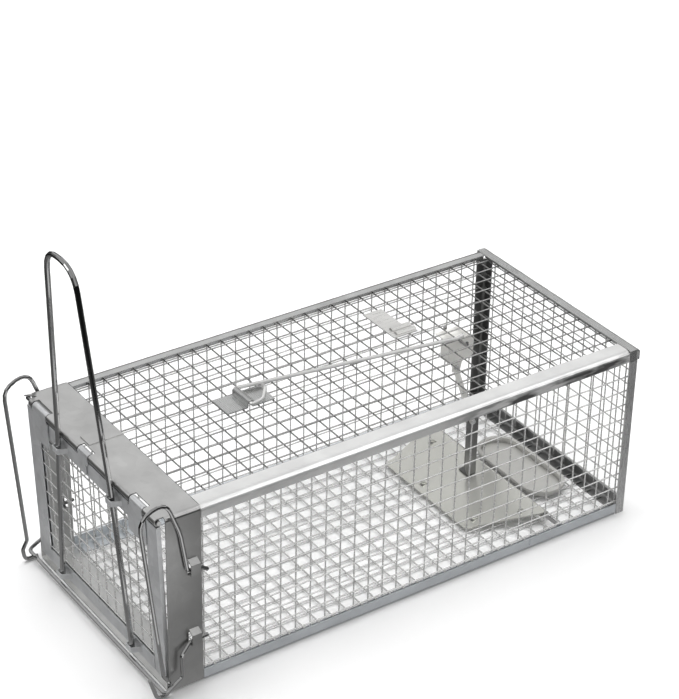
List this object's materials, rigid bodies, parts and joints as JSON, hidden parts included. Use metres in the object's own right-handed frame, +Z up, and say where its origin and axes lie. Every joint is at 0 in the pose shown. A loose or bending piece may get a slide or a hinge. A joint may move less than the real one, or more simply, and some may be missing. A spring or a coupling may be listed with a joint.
{
  "type": "wire mesh live catch trap",
  "caption": "Box cage trap of welded wire mesh in folded sheet rails, with a top-hung front door, a tall wire handle, a roof trigger rod, and a floor pedal linked to its catch.",
  "frame": {"origin": "centre of the whole object's box, on the floor it stands on", "axes": "+X from the door end to the rear wall, +Z up, +Y across the cage; the long side shown nearest is at -Y"},
  "size_m": [0.2822, 0.1336, 0.2],
  "materials": {
    "galvanised_sheet": "bright galvanised sheet with faint spangle",
    "shaded_galvanised_sheet": "duller galvanised sheet",
    "welded_mesh": "galvanised welded wire",
    "bright_wire": "bright drawn wire, zinc plated",
    "pedal_sheet": "smooth glossy galvanised sheet"
  },
  "bodies": {
    "cage": {"front_collar": "galvanised_sheet", "hinge_wire": "bright_wire", "near_top_rail": "galvanised_sheet", "far_top_rail": "galvanised_sheet", "near_bottom_rail": "shaded_galvanised_sheet", "far_bottom_rail": "shaded_galvanised_sheet", "rear_top_rail": "galvanised_sheet", "rear_bottom_rail": "shaded_galvanised_sheet", "rear_near_post": "galvanised_sheet", "rear_far_post": "shaded_galvanised_sheet", "top_mesh": "welded_mesh", "floor_mesh": "welded_mesh", "near_mesh": "welded_mesh", "far_mesh": "welded_mesh", "rear_mesh": "welded_mesh", "rod_clip": "galvanised_sheet", "top_anchor_plate": "galvanised_sheet", "catch_pin": "bright_wire", "pedal_pivot_wire": "bright_wire", "bait_tray": "pedal_sheet"},
    "door": {"door_near_stile": "shaded_galvanised_sheet", "door_far_stile": "shaded_galvanised_sheet", "door_top_rail": "shaded_galvanised_sheet", "door_bottom_rail": "shaded_galvanised_sheet", "door_mesh": "welded_mesh", "door_near_hinge_leaf": "galvanised_sheet", "door_middle_hinge_leaf": "galvanised_sheet", "door_far_hinge_leaf": "galvanised_sheet", "door_handle": "bright_wire"},
    "rod": {"trigger_rod": "bright_wire"},
    "pedal": {"pedal_plate": "pedal_sheet", "pedal_post": "shaded_galvanised_sheet", "post_rivet": "shaded_galvanised_sheet"},
    "link": {"trigger_link": "galvanised_sheet"},
    "catch": {"trigger_catch": "galvanised_sheet", "catch_rivet": "shaded_galvanised_sheet"},
    "bail": {"bail_wire": "bright_wire"},
    "near_spring": {"near_latch_spring": "bright_wire"},
    "far_spring": {"far_latch_spring": "bright_wire"}
  },
  "joints": [
    {"name": "door_hinge", "type": "hinge", "parent": "cage", "child": "door", "pos_m": [-0.1295, 0, 0.094], "axis": [0, 1, 0], "range_deg": [0, 85]},
    {"name": "rod_swing", "type": "hinge", "parent": "cage", "child": "rod", "pos_m": [-0.0474, 0, 0.0979], "axis": [0, -1, 0], "range_deg": [0, 70]},
    {"name": "pedal_rise", "type": "hinge", "parent": "cage", "child": "pedal", "pos_m": [0.0996, 0, 0.005], "axis": [0, 1, 0], "range_deg": [0, 8]},
    {"name": "catch_swing", "type": "hinge", "parent": "cage", "child": "catch", "pos_m": [0.0761, 0, 0.091], "axis": [0, 1, 0], "range_deg": [-4.5, 0]},
    {"name": "link_swing", "type": "hinge", "parent": "pedal", "child": "link", "pos_m": [0.0871, 0, 0.04], "axis": [0, 1, 0], "range_deg": [-15, 0]},
    {"name": "bail_lift", "type": "hinge", "parent": "cage", "child": "bail", "pos_m": [-0.1139, 0, 0.0263], "axis": [0, 1, 0], "range_deg": [0, 9]},
    {"name": "near_spring_give", "type": "hinge", "parent": "cage", "child": "near_spring", "pos_m": [-0.1139, 0, 0.0655], "axis": [0, 1, 0], "range_deg": [0, 4]},
    {"name": "far_spring_give", "type": "hinge", "parent": "cage", "child": "far_spring", "pos_m": [-0.1139, 0, 0.0655], "axis": [0, 1, 0], "range_deg": [0, 4]}
  ],
  "couplings": [
    {"joint": "catch_swing", "follows": "pedal_rise", "ratio": -0.54},
    {"joint": "link_swing", "follows": "pedal_rise", "ratio": -1.77},
    {"joint": "near_spring_give", "follows": "bail_lift", "ratio": 0.41},
    {"joint": "far_spring_give", "follows": "bail_lift", "ratio": 0.41}
  ]
}
